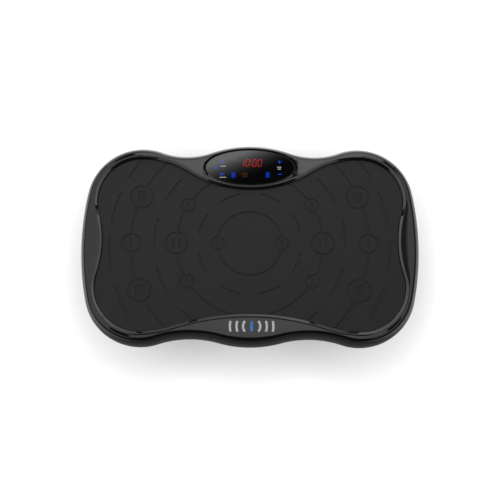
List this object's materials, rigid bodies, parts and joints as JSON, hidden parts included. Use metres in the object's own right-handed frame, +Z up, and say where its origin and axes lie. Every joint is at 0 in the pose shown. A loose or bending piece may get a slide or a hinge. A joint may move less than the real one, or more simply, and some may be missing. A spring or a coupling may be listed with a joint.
{
  "type": "vibration plate",
  "caption": "Low oscillating vibration plate: glossy waisted cover, patterned rubber mat, oval touch display, and a belt-driven crank that rocks the platform.",
  "frame": {"origin": "on the floor, under the middle of the machine's footprint", "axes": "+X to the user's right along the long side, +Y to the rear where the display is, +Z up"},
  "size_m": [0.5308, 0.3203, 0.125],
  "materials": {
    "cover_gloss": "high-gloss black, injection moulded",
    "mat_rubber": "matte black rubber with moulded channels",
    "display_tint": "smoked black acrylic, polished",
    "tub_plastic": "fine-grained black plastic",
    "foot_rubber": "black rubber",
    "black_plastic": "black engineering plastic",
    "gloss_black_plastic": "glossy black plastic",
    "zinc_steel": "zinc-plated steel",
    "painted_steel": "satin black painted steel",
    "ground_steel": "ground and polished steel",
    "cast_alloy": "cast aluminium",
    "bronze": "sintered bronze",
    "copper": "copper segments",
    "ferrite": "dark grey ferrite",
    "carbon": "pressed carbon",
    "lamination": "stacked steel sheets",
    "circuit_board": "green circuit board",
    "board_component": "dark moulded components",
    "led_face": "dark red diffuser",
    "lamp_face": "clear blue lamp body",
    "contact_metal": "plated contact metal"
  },
  "bodies": {
    "platform": {"top_cover": "cover_gloss", "rubber_mat": "mat_rubber", "display_lens": "display_tint", "display_board": "circuit_board", "digit_display": "led_face", "touch_springs": "contact_metal", "indicator_lamps": "lamp_face", "remote_receiver": "gloss_black_plastic", "board_posts": "black_plastic", "deck_plate": "painted_steel", "deck_rails": "painted_steel", "pivot_lugs": "painted_steel", "pivot_pins": "ground_steel", "link_clevises": "painted_steel", "clevis_pins": "ground_steel", "cover_screws": "zinc_steel"},
    "crankshaft": {"crankshaft": "ground_steel", "driven_pulley": "cast_alloy", "bearing_inner_rings": "ground_steel", "bearing_balls": "ground_steel"},
    "motor_rotor": {"motor_shaft": "ground_steel", "motor_armature": "lamination", "motor_commutator": "copper", "drive_pulley": "cast_alloy"},
    "front_link": {"front_link": "cast_alloy", "front_link_bush": "foot_rubber"},
    "rear_link": {"rear_link": "cast_alloy", "rear_link_bush": "foot_rubber"},
    "power_rocker": {"power_rocker": "gloss_black_plastic"},
    "base": {"base_tub": "tub_plastic", "base_plate": "painted_steel", "rubber_feet": "foot_rubber", "foot_studs": "zinc_steel", "foot_nuts": "zinc_steel", "pivot_uprights": "painted_steel", "pivot_bushes": "bronze", "chassis_bolts": "zinc_steel", "bearing_blocks": "cast_alloy", "bearing_outer_rings": "ground_steel", "motor_housing": "painted_steel", "motor_end_bells": "cast_alloy", "motor_magnets": "ferrite", "motor_brushes": "carbon", "motor_bracket": "zinc_steel", "motor_screws": "zinc_steel", "drive_belt": "foot_rubber", "buffer_posts": "painted_steel", "buffer_pads": "foot_rubber", "control_board": "circuit_board", "board_standoffs": "contact_metal", "board_parts": "board_component", "mains_inlet": "black_plastic", "inlet_pins": "contact_metal", "switch_frame": "black_plastic", "fuse_holder": "black_plastic"}
  },
  "joints": [
    {"name": "platform_rock", "type": "hinge", "parent": "base", "child": "platform", "pos_m": [0, 0, 0.088], "axis": [0, 1, 0], "range_deg": [-1.9, 1.9]},
    {"name": "crank_spin", "type": "hinge", "parent": "base", "child": "crankshaft", "pos_m": [0.06, 0, 0.057], "axis": [0, 1, 0], "continuous": true},
    {"name": "motor_spin", "type": "hinge", "parent": "base", "child": "motor_rotor", "pos_m": [-0.088, 0, 0.0605], "axis": [0, 1, 0], "continuous": true},
    {"name": "front_link_swing", "type": "hinge", "parent": "crankshaft", "child": "front_link", "pos_m": [0.062, -0.04, 0.057], "axis": [0, 1, 0], "continuous": true},
    {"name": "rear_link_swing", "type": "hinge", "parent": "crankshaft", "child": "rear_link", "pos_m": [0.062, 0.04, 0.057], "axis": [0, 1, 0], "continuous": true},
    {"name": "power_switch", "type": "hinge", "parent": "base", "child": "power_rocker", "pos_m": [0.038, 0.129, 0.0385], "axis": [0, 0, 1], "range_deg": [0, 14]}
  ],
  "couplings": [
    {"joint": "motor_spin", "follows": "crank_spin", "ratio": 3},
    {"joint": "front_link_swing", "follows": "crank_spin", "ratio": -1},
    {"joint": "rear_link_swing", "follows": "crank_spin", "ratio": -1}
  ]
}
